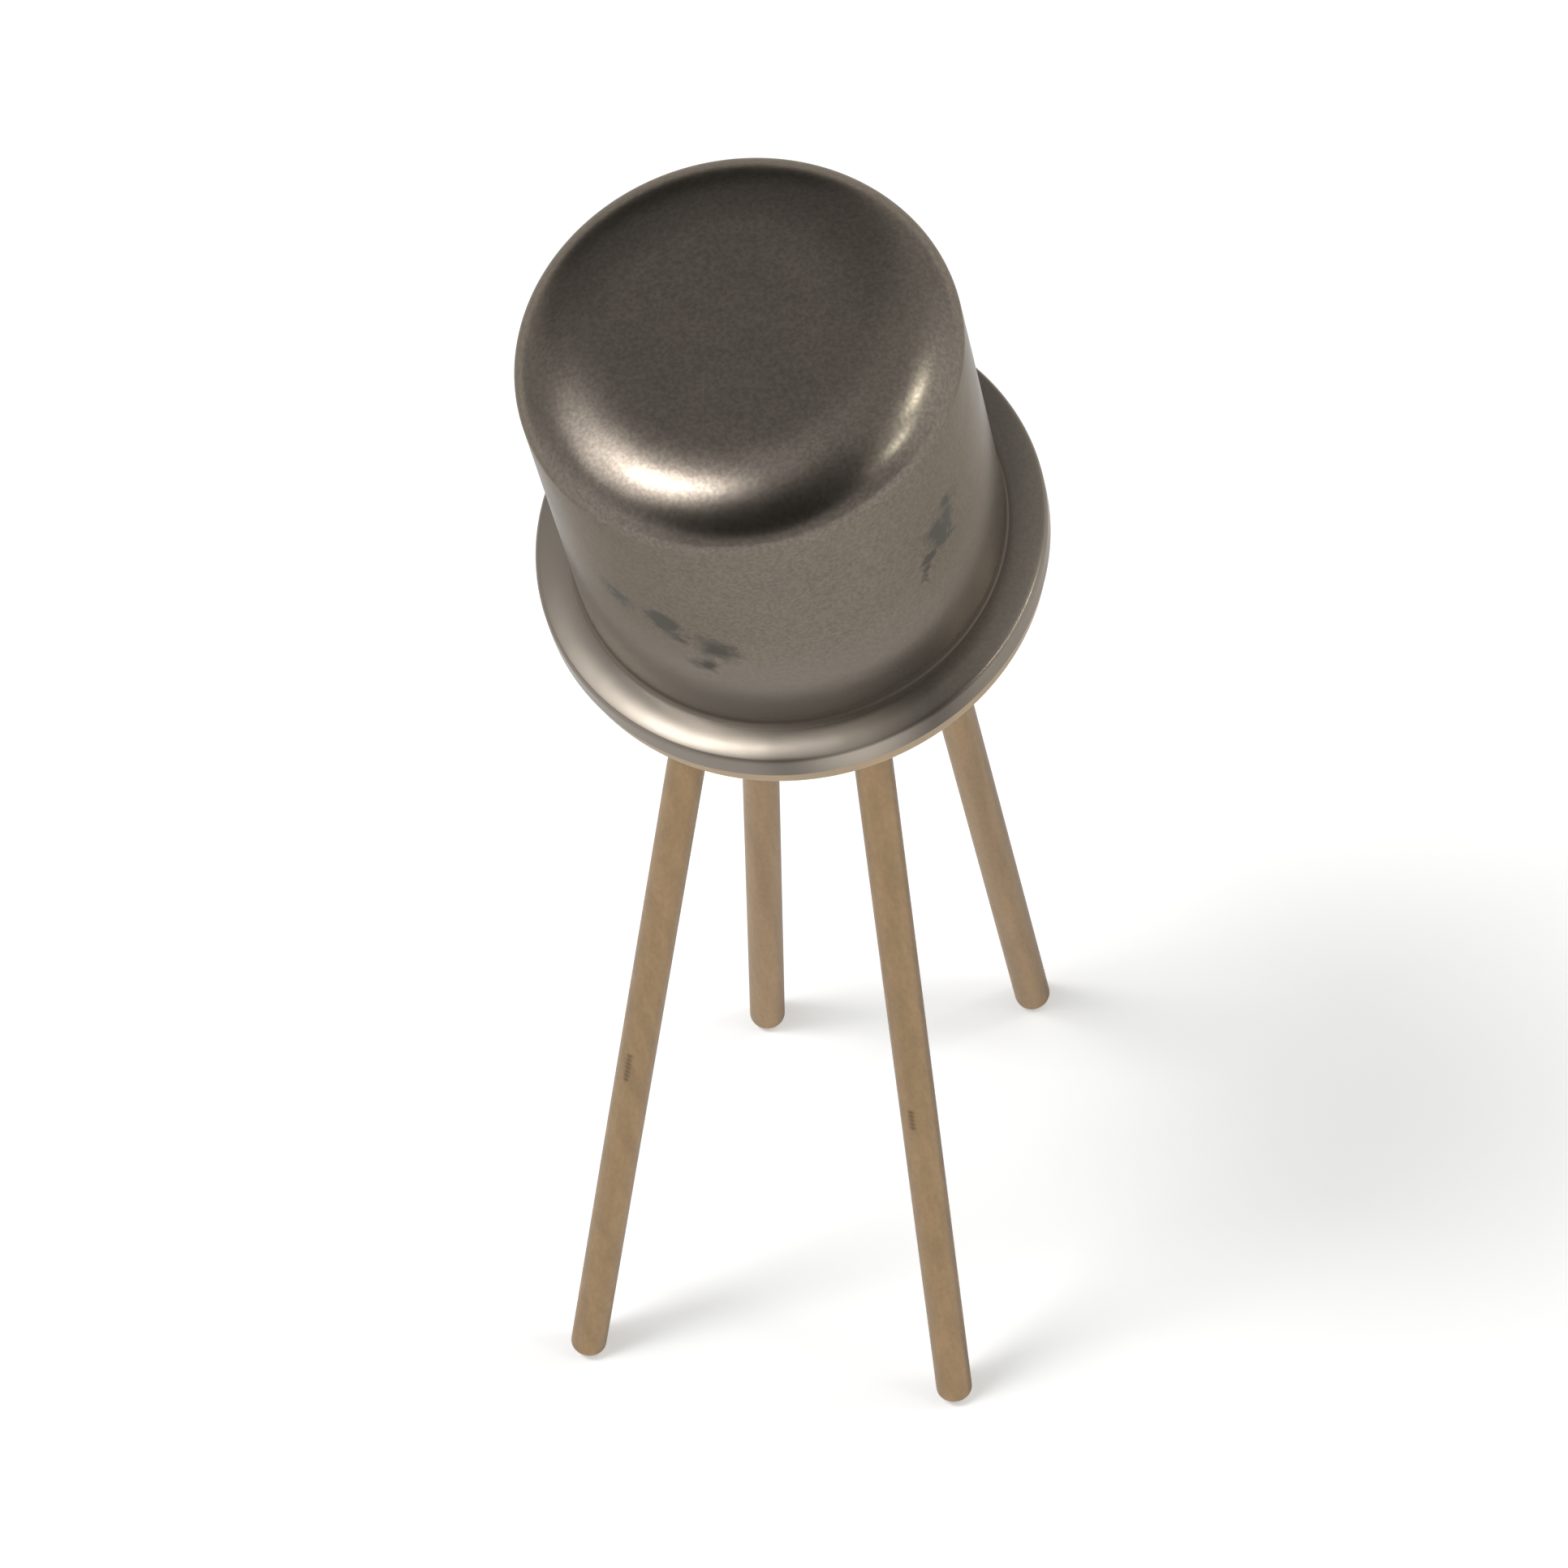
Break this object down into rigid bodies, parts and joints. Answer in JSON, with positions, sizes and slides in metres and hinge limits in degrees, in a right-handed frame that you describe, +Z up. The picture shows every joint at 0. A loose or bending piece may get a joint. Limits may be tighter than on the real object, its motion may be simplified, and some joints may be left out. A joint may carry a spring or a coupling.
{
  "type": "dual-gate mosfet",
  "caption": "Small metal-can dual-gate transistor: drawn cap welded to a glass-sealed header, gold-plated leads splayed so that it stands on them.",
  "frame": {"origin": "centre of the seating plane, the underside of the header's flange, on the can's axis", "axes": "+Z up the can's axis towards its crown; the index tab's heading is 59 degrees from +X towards +Y"},
  "size_m": [0.0081, 0.0076, 0.0183],
  "materials": {
    "nickel_can": "satin nickel plate, lightly soiled",
    "gold_header": "dull gold plate",
    "gold_lead": "satin gold plate over Kovar wire",
    "seal_glass": "dark grey-green sealing glass",
    "silicon": "polished silicon",
    "die_solder": "gold-silicon eutectic",
    "bond_gold": "bright gold wire"
  },
  "bodies": {
    "root": {"cap": "nickel_can", "header_eyelet": "gold_header", "glass_seal": "seal_glass", "die": "silicon", "die_attach": "die_solder", "lead_drain": "gold_lead", "bond_wire_drain": "bond_gold", "lead_gate_2": "gold_lead", "bond_wire_gate_2": "bond_gold", "lead_gate_1": "gold_lead", "bond_wire_gate_1": "bond_gold", "lead_source": "gold_lead", "bond_wire_source": "bond_gold"}
  },
  "joints": []
}
